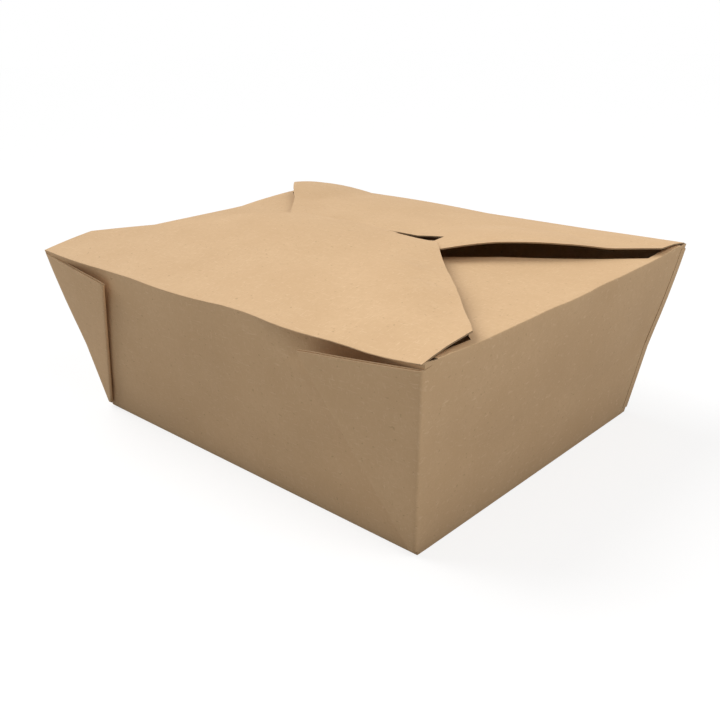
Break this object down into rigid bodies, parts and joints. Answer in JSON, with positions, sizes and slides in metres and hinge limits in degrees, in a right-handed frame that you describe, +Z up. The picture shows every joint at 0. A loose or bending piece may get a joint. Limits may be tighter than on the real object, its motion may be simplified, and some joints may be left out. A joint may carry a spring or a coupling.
{
  "type": "takeout container",
  "caption": "Folded kraft board food box with flared walls, folded corner webs, tapered end flaps and arched long flaps, the front one closing with a tongue in a slot.",
  "frame": {"origin": "middle of the underside, which stands on the table", "axes": "+X along the long side, -Y towards the front flap's wall, +Z up"},
  "size_m": [0.1734, 0.1498, 0.0691],
  "materials": {
    "kraft_board": "uncoated natural brown kraft board, matte, fine fibre"
  },
  "bodies": {
    "carton": {"carton": "kraft_board"},
    "front_flap": {"front_flap": "kraft_board"}
  },
  "joints": [
    {"name": "front_flap_fold", "type": "hinge", "parent": "carton", "child": "front_flap", "pos_m": [0, -0.0706, 0.06327], "axis": [1, 0, 0], "range_deg": [0, 180]}
  ]
}
